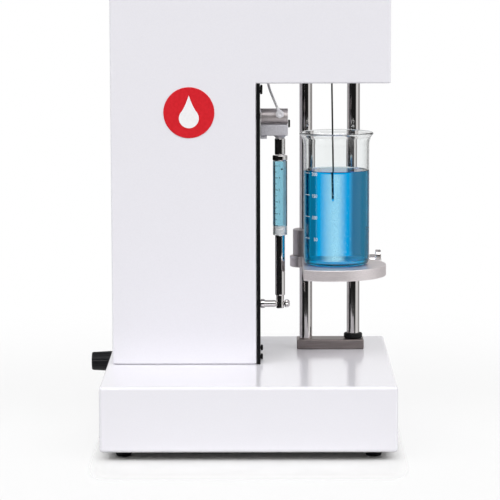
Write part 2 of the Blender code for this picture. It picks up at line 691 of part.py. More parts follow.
def platform_outline():
    """A disc cut flat at its left, joined at the back to two round lobes on the columns."""
    centre = (PLATFORM_X, PLATFORM_Y)
    flat_angle = math.degrees(math.acos((PLATFORM_X - PLATFORM_FLAT_X) / PLATFORM_RADIUS))
    left, right = COLUMN_X
    edge = right + LOBE_RADIUS
    meet_angle = math.degrees(math.acos((edge - PLATFORM_X) / PLATFORM_RADIUS))
    step_x = PLATFORM_FLAT_X - 3.3
    lobe_angle = 180 + math.degrees(math.acos((left - step_x) / LOBE_RADIUS))
    disc = arc(centre, PLATFORM_RADIUS, flat_angle - 180, meet_angle, 36)
    right_lobe = arc((right, COLUMN_Y), LOBE_RADIUS, 0, 90, 8)
    left_lobe = arc((left, COLUMN_Y), LOBE_RADIUS, 90, lobe_angle, 14)
    step = left_lobe[-1][1] - 1.5
    return disc + right_lobe + left_lobe + [(step_x, step), (PLATFORM_FLAT_X, step)]


def build_platform():
    bores = [circle((x, COLUMN_Y), COLUMN_BORE, 32) for x in COLUMN_X]
    outlines = [platform_outline(), *bores]
    platform = prism("platform", outlines, PLATFORM_BOTTOM, PLATFORM_TOP, ALUMINIUM)
    middle = (PLATFORM_BOTTOM + PLATFORM_TOP) / 2
    right = COLUMN_X[1] + LOBE_RADIUS
    shank_hole = CLAMP_SHANK_RADIUS + GAP
    cut(platform, pin("clamp_hole", shank_hole, 14, STEEL, (right - 10, COLUMN_Y, middle), "X", TINY_SIDES))
    left = (COLUMN_X[0], COLUMN_Y, PLATFORM_TOP + GAP)
    sleeve("guide_sleeve", 12.2, COLUMN_BORE, 24.9, ALUMINIUM, left, "Z", 32)

    clamp = [
        (0, 19.4),
        (9.4, 19.4),
        (10.2, 18.8),
        (10.2, 14.6),
        (9.6, 14.0),
        (6.0, 14.0),
        (6.0, 8.6),
        (CLAMP_SHANK_RADIUS, 8.6),
        (CLAMP_SHANK_RADIUS, 0),
        (0, 0),
    ]
    turned("clamp_screw", clamp, STEEL, (right - 8.3, COLUMN_Y, middle), "X", 32)


def beaker_profile():
    """From the middle of the inner floor up the inside, over the flared rim and down the outside."""
    outer, inner, top = BEAKER_RADIUS, BEAKER_RADIUS - BEAKER_WALL, BEAKER_HEIGHT
    inside = [(0, 2.2), (inner - 4.5, 2.2), (inner - 1.3, 3.6), (inner, 7.5), (inner, top - 9)]
    lip = [
        (inner + 0.7, top - 5),
        (inner + 2.6, top - 2),
        (outer + 2.9, top - 0.3),
        (outer + 3.8, top),
        (outer + 4.2, top - 0.8),
        (outer + 3.6, top - 1.9),
        (outer + 1.2, top - 4.5),
        (outer, top - 9),
    ]
    outside = [(outer, 6.5), (outer - 1.6, 2.0), (outer - 5, 0), (0, 0)]
    return inside + lip + outside


def build_beaker():
    place = (BEAKER_X, BEAKER_Y, PLATFORM_TOP + GAP)
    turned("beaker", beaker_profile(), GLASS, place, "Z", 32)
    radius = BEAKER_RADIUS - BEAKER_WALL - 0.35
    top = LIQUID_TOP - place[2]
    profile = [(0, top), (radius, top), (radius, 7.6), (radius - 1.3, 4.2), (radius - 4.4, 2.6), (0, 2.6)]
    liquid = turned("beaker_liquid", profile, LIQUID, place, "Z", 32)
    channel_foot = (CAPILLARY_TIP[0], CAPILLARY_TIP[1], DECK + 104)
    cut(liquid, pin("capillary_channel", CAPILLARY_CHANNEL_RADIUS, 80, LIQUID, channel_foot, "Z", TINY_SIDES))


# ------------------------------------------------------------------ assembly

clear_scene()
PARTS = collection("syringe_burette")
CUTTERS = collection("cutters")
RIG = bpy.data.objects.new("rig", None)
PARTS.objects.link(RIG)
RIG.location = (KNOB_REACH / 2 * MM, -REAR_REACH / 2 * MM, 0)

WHITE = paint("white_lacquer", (0.83, 0.82, 0.86), 0.25)
BLACK = paint("black_plastic", (0.02, 0.02, 0.022), 0.4)
RUBBER = paint("rubber", (0.02, 0.02, 0.02), 0.7)
STEEL = paint("steel", (0.6, 0.6, 0.6), 0.3, metallic=1)
CHROME = paint("polished_steel", (0.75, 0.73, 0.72), 0.12, metallic=1)
ALUMINIUM = paint("satin_aluminium", (0.6, 0.58, 0.57), 0.42, metallic=1)
BRASS = paint("brass", (0.75, 0.58, 0.27), 0.3, metallic=1)
PTFE = paint("white_polymer", (0.85, 0.85, 0.86), 0.45)
CERAMIC = paint("ceramic", (0.9, 0.88, 0.84), 0.3)
GREEN = paint("circuit_board", (0.03, 0.22, 0.1), 0.5)
GLASS = paint("glass", (0.95, 0.98, 0.98), 0.02, transmission=1)
CLEAR = paint("clear_tube", (0.9, 0.92, 0.92), 0.15, transmission=0.7)
LIQUID = paint("blue_liquid", (0.0, 0.36, 0.75), 0.05, transmission=0.8)

build_base()
build_feet()
build_electrics()
build_rear_connections()
build_control()
build_tower()
build_side_plate()
build_drive_frame()
build_drive_motor()
build_carriage()
build_plunger()
build_syringe()
build_valve()
build_tube_fitting()
build_sample_tube()
build_sensor()
build_columns()
build_platform()
build_beaker()
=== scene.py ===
import json
import math
import random

import bmesh
import bpy
from mathutils import Matrix, Vector


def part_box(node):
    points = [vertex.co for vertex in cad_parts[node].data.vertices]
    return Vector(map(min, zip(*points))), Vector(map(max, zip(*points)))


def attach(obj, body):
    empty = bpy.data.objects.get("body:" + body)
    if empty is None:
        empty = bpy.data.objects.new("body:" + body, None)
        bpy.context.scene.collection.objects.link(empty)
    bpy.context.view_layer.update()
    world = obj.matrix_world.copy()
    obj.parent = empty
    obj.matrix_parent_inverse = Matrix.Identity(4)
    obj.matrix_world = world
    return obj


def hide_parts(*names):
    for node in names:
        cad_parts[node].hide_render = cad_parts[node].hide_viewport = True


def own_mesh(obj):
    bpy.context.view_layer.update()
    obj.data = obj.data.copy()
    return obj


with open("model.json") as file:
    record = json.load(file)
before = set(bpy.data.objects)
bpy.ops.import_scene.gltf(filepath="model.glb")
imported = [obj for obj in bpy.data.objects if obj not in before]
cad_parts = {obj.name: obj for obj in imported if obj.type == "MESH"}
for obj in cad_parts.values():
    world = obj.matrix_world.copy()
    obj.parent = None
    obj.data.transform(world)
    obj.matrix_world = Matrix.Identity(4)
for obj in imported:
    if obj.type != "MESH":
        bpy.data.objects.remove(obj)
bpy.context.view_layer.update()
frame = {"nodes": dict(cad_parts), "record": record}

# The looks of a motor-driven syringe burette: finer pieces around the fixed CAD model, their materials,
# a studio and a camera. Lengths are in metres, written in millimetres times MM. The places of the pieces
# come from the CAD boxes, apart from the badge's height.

MM = 0.001
SHEET = 2 * MM
BARREL_BORE = 5.3 * MM
GLASS_WALL = 1.7 * MM
BEAKER_RADIUS = 30.15 * MM
RIM_ABOVE_NODE = 1.3 * MM
LIQUID_OVERLAP = 0.06 * MM
CAPILLARY_RADIUS = 0.6 * MM
PRINT_THICKNESS = 0.04 * MM
BADGE_HEIGHT = 296 * MM
BUBBLES = 700
WELD = 0.001 * MM
TURNS = {
    "X": Matrix.Rotation(math.pi / 2, 4, "Y"),
    "-X": Matrix.Rotation(-math.pi / 2, 4, "Y"),
    "Y": Matrix.Rotation(-math.pi / 2, 4, "X"),
    "-Y": Matrix.Rotation(math.pi / 2, 4, "X"),
    "Z": Matrix.Identity(4),
}
random.seed(7)

# The brightness of each part of the surround, and the directions of the dark room and the bright window
FRONT_LIGHT, SIDE_LIGHT, BACK_LIGHT = 0.012, 0.85, 0.82
TOP_LIGHT, SOFTBOX_LIGHT = 0.35, 4.3
FLANK_LIGHT, WINDOW_LIGHT, FLOOR_GLOW = 0.34, 0.95, 0.8
ROOM_DIRECTION = (-0.26, -0.966, 0)
WINDOW_DIRECTION = (0.087, 0.996, 0)

# The table top's radius, and how opaque it is away from the base
FLOOR_RADIUS = 0.85
FLOOR_FAINT = 0.2

# The camera fitted to the photograph: metres, degrees and millimetres
CAMERA_PLACE = (0.0260, -2.3587, 0.4678)
CAMERA_TILT, CAMERA_PAN, CAMERA_ROLL = 7.242, 0.362, -0.158
CAMERA_LENS, CAMERA_SENSOR = 186.8, 36


# ------------------------------------------------------------------ material helpers


def new_material(name):
    material = bpy.data.materials.new(name)
    material.use_nodes = True
    tree = material.node_tree
    return material, tree, tree.nodes["Principled BSDF"]


def node(tree, kind, **settings):
    made = tree.nodes.new(kind)
    for key, value in settings.items():
        if key in made.inputs:
            made.inputs[key].default_value = value
        else:
            setattr(made, key, value)
    return made


def calculate(tree, operation, *values):
    """A Math node's result. Each value is a number or an output of another node."""
    made = node(tree, "ShaderNodeMath", operation=operation)
    for socket, value in zip(made.inputs, values):
        if isinstance(value, (int, float)):
            socket.default_value = value
        else:
            tree.links.new(value, socket)
    return made.outputs["Value"]


def smooth_step(tree, value, start, end):
    """A smooth ramp from 0 to 1 as a value goes from start to end."""
    ramp = node(tree, "ShaderNodeMapRange", interpolation_type="SMOOTHSTEP")
    ramp.inputs["From Min"].default_value = start
    ramp.inputs["From Max"].default_value = end
    tree.links.new(value, ramp.inputs["Value"])
    return ramp.outputs["Result"]


def axes_from(tree, centre):
    """The X, Y and Z of a point in object space, measured from a centre."""
    place = node(tree, "ShaderNodeTexCoord")
    mapping = node(tree, "ShaderNodeMapping", Location=-Vector(centre))
    split = node(tree, "ShaderNodeSeparateXYZ")
    tree.links.new(place.outputs["Object"], mapping.inputs["Vector"])
    tree.links.new(mapping.outputs["Vector"], split.inputs["Vector"])
    return [split.outputs[letter] for letter in "XYZ"]


def stretched_noise(tree, stretch, scale, detail=4.0):
    """A noise in object space, drawn out along an axis where stretch is small."""
    place = node(tree, "ShaderNodeTexCoord")
    mapping = node(tree, "ShaderNodeMapping", Scale=stretch)
    noise = node(tree, "ShaderNodeTexNoise", Scale=scale, Detail=detail)
    tree.links.new(place.outputs["Object"], mapping.inputs["Vector"])
    tree.links.new(mapping.outputs["Vector"], noise.inputs["Vector"])
    return noise


def vary_colour(tree, shader, noise, low, high):
    ramp = node(tree, "ShaderNodeValToRGB")
    ramp.color_ramp.elements[0].position = 0.35
    ramp.color_ramp.elements[1].position = 0.65
    ramp.color_ramp.elements[0].color = (*low, 1)
    ramp.color_ramp.elements[1].color = (*high, 1)
    tree.links.new(noise.outputs["Fac"], ramp.inputs["Fac"])
    tree.links.new(ramp.outputs["Color"], shader.inputs["Base Color"])


def vary_roughness(tree, shader, noise, low, high):
    span = node(tree, "ShaderNodeMapRange")
    span.inputs["From Min"].default_value = 0.3
    span.inputs["From Max"].default_value = 0.7
    span.inputs["To Min"].default_value = low
    span.inputs["To Max"].default_value = high
    tree.links.new(noise.outputs["Fac"], span.inputs["Value"])
    tree.links.new(span.outputs["Result"], shader.inputs["Roughness"])


def bump(tree, shader, noise, depth):
    relief = node(tree, "ShaderNodeBump", Strength=1.0, Distance=depth)
    tree.links.new(noise.outputs["Fac"], relief.inputs["Height"])
    tree.links.new(relief.outputs["Normal"], shader.inputs["Normal"])


def surface(name, low, high, rough, metallic=0.0, stretch=(1, 1, 1), scale=300.0, depth=0.0, **extra):
    """A material whose colour, gloss and relief vary with one noise."""
    material, tree, shader = new_material(name)
    shader.inputs["Metallic"].default_value = metallic
    for key, value in extra.items():
        shader.inputs[key.replace("_", " ")].default_value = value
    noise = stretched_noise(tree, stretch, scale)
    vary_colour(tree, shader, noise, low, high)
    vary_roughness(tree, shader, noise, *rough)
    if depth:
        bump(tree, shader, noise, depth)
    return material


def clear(name, colour, ior, rough, density=0.0, absorbed=(1, 1, 1), wet=False):
    """A clear material, with an absorbing volume where density is above zero. Glass that has liquid
    against it, and the liquid, don't mirror where they meet."""
    material, tree, shader = new_material(name)
    shader.inputs["Base Color"].default_value = (*colour, 1)
    shader.inputs["Transmission Weight"].default_value = 1.0
    shader.inputs["IOR"].default_value = ior
    if wet:
        shader.inputs["Specular Tint"].default_value = (0, 0, 0, 1)
    noise = stretched_noise(tree, (1, 1, 1), 60.0, 2.0)
    vary_roughness(tree, shader, noise, rough, rough * 1.5)
    if density:
        volume = node(tree, "ShaderNodeVolumeAbsorption", Density=density, Color=(*absorbed, 1))
        output = tree.nodes["Material Output"]
        tree.links.new(volume.outputs["Volume"], output.inputs["Volume"])
    return material


LACQUER = surface("white_lacquer", (0.81, 0.80, 0.845), (0.825, 0.815, 0.86), (0.11, 0.15), scale=900,
                  depth=0.000001)
ALUMINIUM = surface("satin_aluminium", (0.56, 0.52, 0.52), (0.66, 0.61, 0.61), (0.45, 0.55), 1.0,
                    (1, 1, 1), 1400, 0.000008)
BRUSHED = surface("brushed_aluminium", (0.76, 0.71, 0.715), (0.84, 0.785, 0.79), (0.46, 0.56), 1.0,
                  (0.05, 1, 1), 1200, 0.000002)
DARK_ALUMINIUM = surface("dark_aluminium", (0.27, 0.238, 0.232), (0.33, 0.29, 0.283), (0.4, 0.5), 1.0,
                         (0.05, 1, 1), 1200, 0.000002)
BLASTED = surface("blasted_aluminium", (0.66, 0.65, 0.69), (0.86, 0.85, 0.90), (0.55, 0.65), 1.0,
                  (1, 1, 1), 1300, 0.00002)
POLISHED = surface("polished_steel", (0.70, 0.67, 0.66), (0.76, 0.735, 0.725), (0.05, 0.09), 1.0,
                   (1, 1, 0.02), 900, 0.0000008)
STEEL = surface("plain_steel", (0.5, 0.49, 0.48), (0.58, 0.57, 0.56), (0.25, 0.4), 1.0, (1, 1, 1), 700,
                0.000004)
ANODISED = surface("black_anodised", (0.003, 0.003, 0.0035), (0.006, 0.006, 0.0065), (0.35, 0.45), 0.0,
                   (1, 1, 1), 1500, 0.000004, Specular_IOR_Level=0.15)
BLACK = surface("black_plastic", (0.004, 0.004, 0.005), (0.008, 0.008, 0.01), (0.3, 0.42), 0.0, (1, 1, 1),
                700, 0.000004, Specular_IOR_Level=0.2)
RUBBER = surface("black_rubber", (0.004, 0.004, 0.005), (0.009, 0.009, 0.01), (0.5, 0.7), 0.0, (1, 1, 1),
                 1200, 0.00001, Specular_IOR_Level=0.2)
FITTING_POLYMER = surface("fitting_polymer", (0.80, 0.79, 0.82), (0.88, 0.87, 0.90), (0.25, 0.35), 0.0,
                          (1, 1, 1), 500, 0.000003)
DARK_STEEL = surface("dark_steel", (0.05, 0.048, 0.047), (0.08, 0.077, 0.075), (0.3, 0.4), 1.0, (1, 1, 0.05),
                     900, 0.000002)
# The white polymer glows a little. This is painted light that brightens the seal inside the glass barrel and
# the other white polymer parts.
GLOWING_POLYMER = surface("white_polymer", (0.9, 0.9, 0.915), (0.95, 0.95, 0.96), (0.3, 0.42), 0.0, (1, 1, 1), 500,
                  0.000005, Emission_Color=(0.9, 0.95, 1, 1), Emission_Strength=0.22)
BRASS = surface("turned_brass", (0.7, 0.5, 0.2), (0.78, 0.6, 0.3), (0.25, 0.35), 1.0, (1, 1, 0.1), 900,
                0.000004)
CERAMIC = surface("lapped_ceramic", (0.84, 0.82, 0.78), (0.9, 0.88, 0.84), (0.15, 0.25), 0.0, (1, 1, 1), 500)
BOARD = surface("circuit_board", (0.01, 0.12, 0.05), (0.02, 0.2, 0.08), (0.3, 0.4), 0.0, (1, 1, 1), 250)
CAGE = surface("supply_cage", (0.5, 0.5, 0.51), (0.6, 0.6, 0.61), (0.3, 0.45), 1.0, (1, 0.1, 1), 400)
# The single gas bubbles glow a little. This is painted light that keeps them bright inside the liquid.
GLOWING_BUBBLE = surface("glowing_gas_bubbles", (0.93, 0.97, 1.0), (0.97, 0.99, 1.0), (0.15, 0.3), 0.0, (1, 1, 1), 900, 0.0,
                 Emission_Color=(0.8, 0.95, 1, 1), Emission_Strength=0.5)
TUBE = surface("translucent_tube", (0.78, 0.77, 0.79), (0.86, 0.85, 0.87), (0.25, 0.35), 0.0, (1, 1, 1), 300,
               0.0, Transmission_Weight=0.1)
PRINT = surface("white_print", (0.86, 0.88, 0.9), (0.95, 0.96, 0.97), (0.5, 0.6), 0.0, (1, 1, 1), 900)
INK = surface("black_print", (0.01, 0.01, 0.012), (0.02, 0.02, 0.025), (0.5, 0.6), 0.0, (1, 1, 1), 900)
BADGE = surface("badge_red", (0.62, 0.012, 0.02), (0.68, 0.016, 0.026), (0.28, 0.34), 0.0, (1, 1, 1), 400)
BADGE_WHITE = surface("badge_white", (0.86, 0.85, 0.87), (0.9, 0.89, 0.91), (0.3, 0.36), 0.0, (1, 1, 1), 400)
GLASS = clear("clear_glass", (0.975, 0.99, 0.99), 1.47, 0.004)
BARREL_GLASS = clear("syringe_glass", (0.97, 0.99, 0.99), 1.47, 0.004)
WET_GLASS = clear("wet_glass", (0.975, 0.99, 0.99), 1.47, 0.004, wet=True)
LIQUID = clear("blue_liquid", (0.98, 0.995, 1.0), 1.333, 0.002, 105.0, (0.0, 0.84, 0.97), wet=True)
PALE_LIQUID = clear("pale_liquid", (0.95, 0.99, 1.0), 1.333, 0.002, 190.0, (0.36, 0.72, 0.82), wet=True)


# ------------------------------------------------------------------ modelling helpers


def link(name, data):
    piece = bpy.data.objects.new(name, data)
    bpy.context.scene.collection.objects.link(piece)
    return piece


def piece_from(name, shape):
    """A new piece with an edited shape."""
    mesh = bpy.data.meshes.new(name)
    shape.to_mesh(mesh)
    shape.free()
    return link(name, mesh)


def mesh_from(name, data):
    """The mesh of a curve or of a text."""
    guide = link(name, data)
    mesh = bpy.data.meshes.new_from_object(guide.evaluated_get(bpy.context.evaluated_depsgraph_get()))
    bpy.data.objects.remove(guide)
    return mesh


def welded(mesh, gap, flatten=False, outward=False):
    """Joins a mesh's points closer than a gap. Makes flat faces whole and turns faces outward if asked."""
    shape = bmesh.new()
    shape.from_mesh(mesh)
    bmesh.ops.remove_doubles(shape, verts=shape.verts, dist=gap)
    if flatten:
        bmesh.ops.dissolve_limit(shape, angle_limit=0.01, verts=shape.verts, edges=shape.edges)
    if outward:
        bmesh.ops.recalc_face_normals(shape, faces=shape.faces)
    shape.to_mesh(mesh)
    shape.free()
    return mesh


def seat(cad_node, axis="Z"):
    """The middle of the face where a CAD node starts along an axis, which is X, -X or Z."""
    low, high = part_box(cad_node)
    place = (low + high) / 2
    if axis == "Z":
        place.z = low.z
    else:
        place.x = low.x if axis == "X" else high.x
    return place


def apply_modifiers(piece):
    graph = bpy.context.evaluated_depsgraph_get()
    mesh = bpy.data.meshes.new_from_object(piece.evaluated_get(graph))
    piece.modifiers.clear()
    piece.data = mesh
    return piece


def smooth(piece, angle=35):
    """Smooth shading in which a large face keeps its own direction and the small ones beside it turn."""
    piece.data.shade_smooth()
    piece.data.set_sharp_from_angle(angle=math.radians(angle))
    weighting = piece.modifiers.new("weighting", "WEIGHTED_NORMAL")
    weighting.mode = "FACE_AREA"
    weighting.keep_sharp = True
    apply_modifiers(piece)


def show(piece, body, material, nodes=(), angle=35):
    """Finishes a piece: its material, its shading, the body it rides on and the nodes it stands for."""
    piece.data.materials.clear()
    piece.data.materials.append(material)
    smooth(piece, angle)
    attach(piece, body)
    if nodes:
        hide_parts(*nodes)


def wet(piece, centre, reach, bottom, level):
    """Gives a glass vessel's inner faces, within a radius and two heights, the wet glass material."""
    piece.data.materials.append(WET_GLASS)
    for face in piece.data.polygons:
        across = math.hypot(face.center.x - centre.x, face.center.y - centre.y)
        if across < reach and bottom < face.center.z < level:
            face.material_index = 1


def soften(piece, width, segments=4, angle=40):
    rounding = piece.modifiers.new("rounding", "BEVEL")
    rounding.width = width
    rounding.segments = segments
    rounding.limit_method = "ANGLE"
    rounding.angle_limit = math.radians(angle)
    return apply_modifiers(piece)


def boolean(piece, operation, *tools):
    for tool in tools:
        step = piece.modifiers.new("step", "BOOLEAN")
        step.operation = operation
        step.object = tool
    apply_modifiers(piece)
    for tool in tools:
        bpy.data.objects.remove(tool)


def block(name, low, high):
    shape = bmesh.new()
    bmesh.ops.create_cube(shape, size=1)
    low, high = Vector(low), Vector(high)
    bmesh.ops.scale(shape, vec=high - low, verts=shape.verts)
    bmesh.ops.translate(shape, vec=(low + high) / 2, verts=shape.verts)
    return piece_from(name, shape)


def round_corners(profile, radius, steps=4):
    """A profile with each of its inner corners rounded."""
    points = [Vector(point) for point in profile]
    out = [points[0]]
    for before, corner, after in zip(points, points[1:], points[2:]):
        back, ahead = before - corner, after - corner
        reach = min(radius, back.length * 0.48, ahead.length * 0.48)
        start = corner + back.normalized() * reach
        end = corner + ahead.normalized() * reach
        for step in range(steps + 1):
            part = step / steps
            out.append(start * (1 - part) ** 2 + corner * 2 * part * (1 - part) + end * part**2)
    out.append(points[-1])
    return [tuple(point) for point in out]


def turned(name, profile, place, axis="Z", sides=96, closed=False):
    """A turned piece. Its profile is (radius, height) in metres, from the top down the outer side."""
    shape = bmesh.new()
    rings = []
    for radius, height in profile:
        if radius < WELD:
            rings.append([shape.verts.new((0, 0, height))])
            continue
        angles = [math.tau * side / sides for side in range(sides)]
        rings.append(
            [shape.verts.new((radius * math.cos(a), radius * math.sin(a), height)) for a in angles]
        )
    pairs = list(zip(rings, rings[1:]))
    if closed:
        pairs.append((rings[-1], rings[0]))
    for upper, lower in pairs:
        for side in range(sides):
            after = (side + 1) % sides
            corners = [upper[side % len(upper)], lower[side % len(lower)]]
            corners += [lower[after % len(lower)], upper[after % len(upper)]]
            corners = list(dict.fromkeys(corners))
            if len(corners) > 2:
                shape.faces.new(corners)
    bmesh.ops.recalc_face_normals(shape, faces=shape.faces)
    piece = piece_from(name, shape)
    piece.data.transform(Matrix.Translation(Vector(place)) @ TURNS[axis])
    return piece


def lathe(name, profile, rounding, place, axis="Z", sides=96, closed=False, steps=4):
    """A turned piece with rounded corners. The profile and the rounding are in millimetres."""
    profile = [(radius * MM, height * MM) for radius, height in profile]
    return turned(name, round_corners(profile, rounding * MM, steps), place, axis, sides, closed)


def rod(name, radius, length, place, axis="Z", sides=48):
    """A plain round tool for cutting. The radius and the length are in millimetres."""
    radius, length = radius * MM, length * MM
    return turned(name, [(0, length), (radius, length), (radius, 0), (0, 0)], place, axis, sides)


def knurl(piece, centre, least, ridges, depth):
    """Presses ridges into the outermost ring of a turned piece whose axis is X."""
    for vertex in piece.data.vertices:
        offset = vertex.co - centre
        radius = math.hypot(offset.y, offset.z)
        if radius < least:
            continue
        wave = 0.5 + 0.5 * math.cos(ridges * math.atan2(offset.z, offset.y))
        shrink = 1 - depth * wave / radius
        vertex.co.y = centre.y + offset.y * shrink
        vertex.co.z = centre.z + offset.z * shrink


def outline_prism(name, outline, low, high, axis="Z"):
    """A flat piece cut to an outline, which is in XY for axis Z and in XZ for axis Y."""
    curve = bpy.data.curves.new(name, "CURVE")
    curve.dimensions = "2D"
    curve.fill_mode = "BOTH"
    curve.extrude = (high - low) / 2
    spline = curve.splines.new("POLY")
    spline.points.add(len(outline) - 1)
    for point, (across, along) in zip(spline.points, outline):
        point.co = (across, along, 0, 1)
    spline.use_cyclic_u = True
    mesh = mesh_from(name + "_guide", curve)
    middle = (high + low) / 2
    if axis == "Y":
        mesh.transform(Matrix.Translation((0, middle, 0)) @ TURNS["-Y"])
    else:
        mesh.transform(Matrix.Translation((0, 0, middle)))
    return link(name, welded(mesh, WELD, flatten=True, outward=True))


def arc(centre, radius, start, end, steps):
    angles = [math.radians(start + (end - start) * step / steps) for step in range(steps + 1)]
    return [
        (centre[0] + radius * math.cos(angle), centre[1] + radius * math.sin(angle))
        for angle in angles
    ]


def bare_copy(cad_node):
    """A copy of a CAD node's mesh without its shading."""
    mesh = frame["nodes"][cad_node].data.copy()
    for name in ("custom_normal", "sharp_face", "sharp_edge"):
        if name in mesh.attributes:
            mesh.attributes.remove(mesh.attributes[name])
    return mesh


def refined(cad_node, width, segments=3):
    """A finer copy of a CAD node: its flat faces made whole and its edges rounded."""
    mesh = welded(bare_copy(cad_node), 2 * WELD, flatten=True)
    return soften(link(cad_node + "_fine", mesh), width, segments)


# ------------------------------------------------------------------ base


def build_base():
    low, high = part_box("base_housing")
    cover = soften(block("base_cover", low, high), 2.8 * MM, 8)
    room_low = (low.x + SHEET, low.y + SHEET, low.z - SHEET)
    tools = [block("room", room_low, high - Vector((SHEET, SHEET, SHEET)))]
    margins = {"mains_inlet": (3.2, 3.2), "switch_frame": (3.2, 3.2), "signal_socket": (5.2, 1.2)}
    for cad_node, (across, up) in margins.items():
        inner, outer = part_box(cad_node)
        start = (inner.x + across * MM, high.y - 5 * MM, inner.z + up * MM)
        end = (outer.x - across * MM, high.y + 5 * MM, outer.z - up * MM)
        tools.append(block("window", start, end))
    boolean(cover, "DIFFERENCE", *tools)
    show(cover, "root", LACQUER, ["base_housing"])

    profile = [(0, 7.7), (7.75, 7.7), (7.75, 4.2), (6.6, 0.4), (5.6, 0), (0, 0)]
    for end in ("front", "rear"):
        for side in ("left", "right"):
            name = f"foot_{end}_{side}"
            foot = lathe("rubber_" + name, profile, 1.2, seat(name), steps=6)
            show(foot, "root", RUBBER, [name])


def build_knob():
    place = seat("speed_knob", "-X")
    low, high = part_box("speed_knob")
    reach = (high.x - low.x) / MM
    profile = [(0, reach), (8.1, reach), (8.6, reach - 1.2), (9.5, 1.2), (9.0, 0)]
    profile += [(3.5, 0), (3.5, reach - 6), (0, reach - 6)]
    knob = lathe("rotary_knob", profile, 0.7, place, "-X", 144)
    knurl(knob, place, 8.2 * MM, 24, 0.28 * MM)
    show(knob, "knob", BLACK, ["speed_knob"])
    line_low = (low.x - 0.02 * MM, place.y - 0.5 * MM, place.z + 2.5 * MM)
    line_high = (low.x + 0.3 * MM, place.y + 0.5 * MM, place.z + 7.2 * MM)
    line = soften(block("knob_line", line_low, line_high), 0.12 * MM, 2)
    line.data.transform(Matrix.Translation((0.03 * MM, 0, 0)))
    show(line, "knob", PRINT)


def build_rear_parts():
    for cad_node in ("mains_inlet", "switch_frame"):
        show(refined(cad_node, 0.5 * MM), "root", BLACK, [cad_node])
    show(refined("signal_socket", 0.25 * MM), "root", STEEL, ["signal_socket"])
    show(refined("power_rocker", 0.3 * MM), "rocker", BLACK, ["power_rocker"])


# ------------------------------------------------------------------ tower


def build_tower():
    low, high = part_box("tower_housing")
    plate_low, plate_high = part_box("side_plate")
    inner = plate_low.x - 0.3 * MM
    step = plate_high.z + 0.3 * MM

    def outline(inset, bottom):
        left, right, top = low.x + inset, high.x - inset, high.z - inset
        return [
            (left, bottom),
            (inner - inset, bottom),
            (inner - inset, step + inset),
            (right, step + inset),
            (right, top),
            (left, top),
        ]

    shell = outline_prism("tower_shell", outline(0, low.z), low.y, high.y, "Y")
    soften(shell, 1.6 * MM, 6)
    room = outline_prism("room", outline(SHEET, low.z - 9 * MM), low.y + SHEET, high.y + 9 * MM, "Y")
    corner_low, corner_high = (inner, low.y - SHEET, step - 4 * MM), (inner + 4 * MM, high.y + SHEET, step)
    tools = [room, block("corner", corner_low, corner_high)]
    capillary = seat("capillary")
    capillary.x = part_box("capillary_fitting")[0].x + 5.8 * MM
    for place, radius in ((seat("column_left"), 6.6), (seat("column_right"), 6.6), (capillary, 2.0)):
        tools.append(rod("hole", radius, 8, (place.x, place.y, step - 3 * MM), "Z", 64))
    boolean(shell, "DIFFERENCE", *tools)
    show(shell, "root", LACQUER, ["tower_housing"])

    cover = refined("rear_cover", 0.3 * MM, 2)
    show(cover, "root", LACQUER, ["rear_cover"])
    build_cover_screws()


def build_cover_screws():
    """Six pan-head screws that hold the rear cover."""
    low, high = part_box("rear_cover")
    inner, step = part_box("side_plate")[0].x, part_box("side_plate")[1].z
    edge = 8 * MM
    places = [
        (low.x + edge, low.z + edge),
        (inner - edge - 2 * MM, low.z + edge),
        (low.x + edge, high.z - edge),
        (high.x - edge, high.z - edge),
        (high.x - edge, step + edge + 3 * MM),
        (low.x + edge, (low.z + high.z) / 2),
    ]
    head = [(0, 1.5), (2.6, 1.5), (3.4, 0.9), (3.4, 0.0), (0, 0.0)]
    for count, (x, z) in enumerate(places):
        screw = lathe(f"cover_screw_{count}", head, 0.4, (x, high.y - 1.2 * MM, z), "Y", 48)
        bars = [
            block("bar", (x - a, high.y - 0.4 * MM, z - b), (x + a, high.y + 2 * MM, z + b))
            for a, b in ((1.7 * MM, 0.35 * MM), (0.35 * MM, 1.7 * MM))
        ]
        boolean(screw, "DIFFERENCE", *bars)
        show(screw, "root", STEEL)


def build_side_plate():
    show(refined("side_plate", 0.25 * MM, 2), "root", ANODISED, ["side_plate"])
    head = [(0, 3.9), (1.5, 3.9), (1.5, 5.3), (2.2, 5.3), (2.8, 4.7), (2.8, 3.3), (1.5, 3.3)]
    head += [(1.5, 0), (0, 0)]
    for level in ("lower", "upper"):
        for end in ("front", "rear"):
            name = f"side_screw_{level}_{end}"
            screw = lathe("cap_" + name, head, 0.3, seat(name, "X"), "X", 48)
            show(screw, "root", ANODISED, [name])


# ------------------------------------------------------------------ syringe


def build_drive_pin():
    place = seat("drive_pin", "X")
    profile = [(1.9, 22.3), (2.6, 22.3), (3.15, 21.6), (3.15, 12.0), (3.9, 12.0), (4.2, 11.6), (4.2, 8.6)]
    profile += [(3.9, 8.3), (3.15, 8.3), (3.15, 0), (0, 0), (0, 15.2), (1.9, 15.2)]
    piece = lathe("chrome_drive_pin", profile, 0.2, place, "X", closed=True)
    show(piece, "drive", POLISHED, ["drive_pin"])

    place = seat("plunger_screw", "X")
    head = [(0, 19.5), (2.0, 19.4), (3.1, 18.7), (3.65, 17.4), (3.65, 15.6), (3.0, 14.5), (1.55, 14.3)]
    head += [(1.55, 0), (0, 0)]
    piece = lathe("thumb_screw", head, 0.6, place, "X", 144, steps=6)
    knurl(piece, place, 3.3 * MM, 36, 0.12 * MM)
    show(piece, "plunger_clamp", POLISHED, ["plunger_screw"])


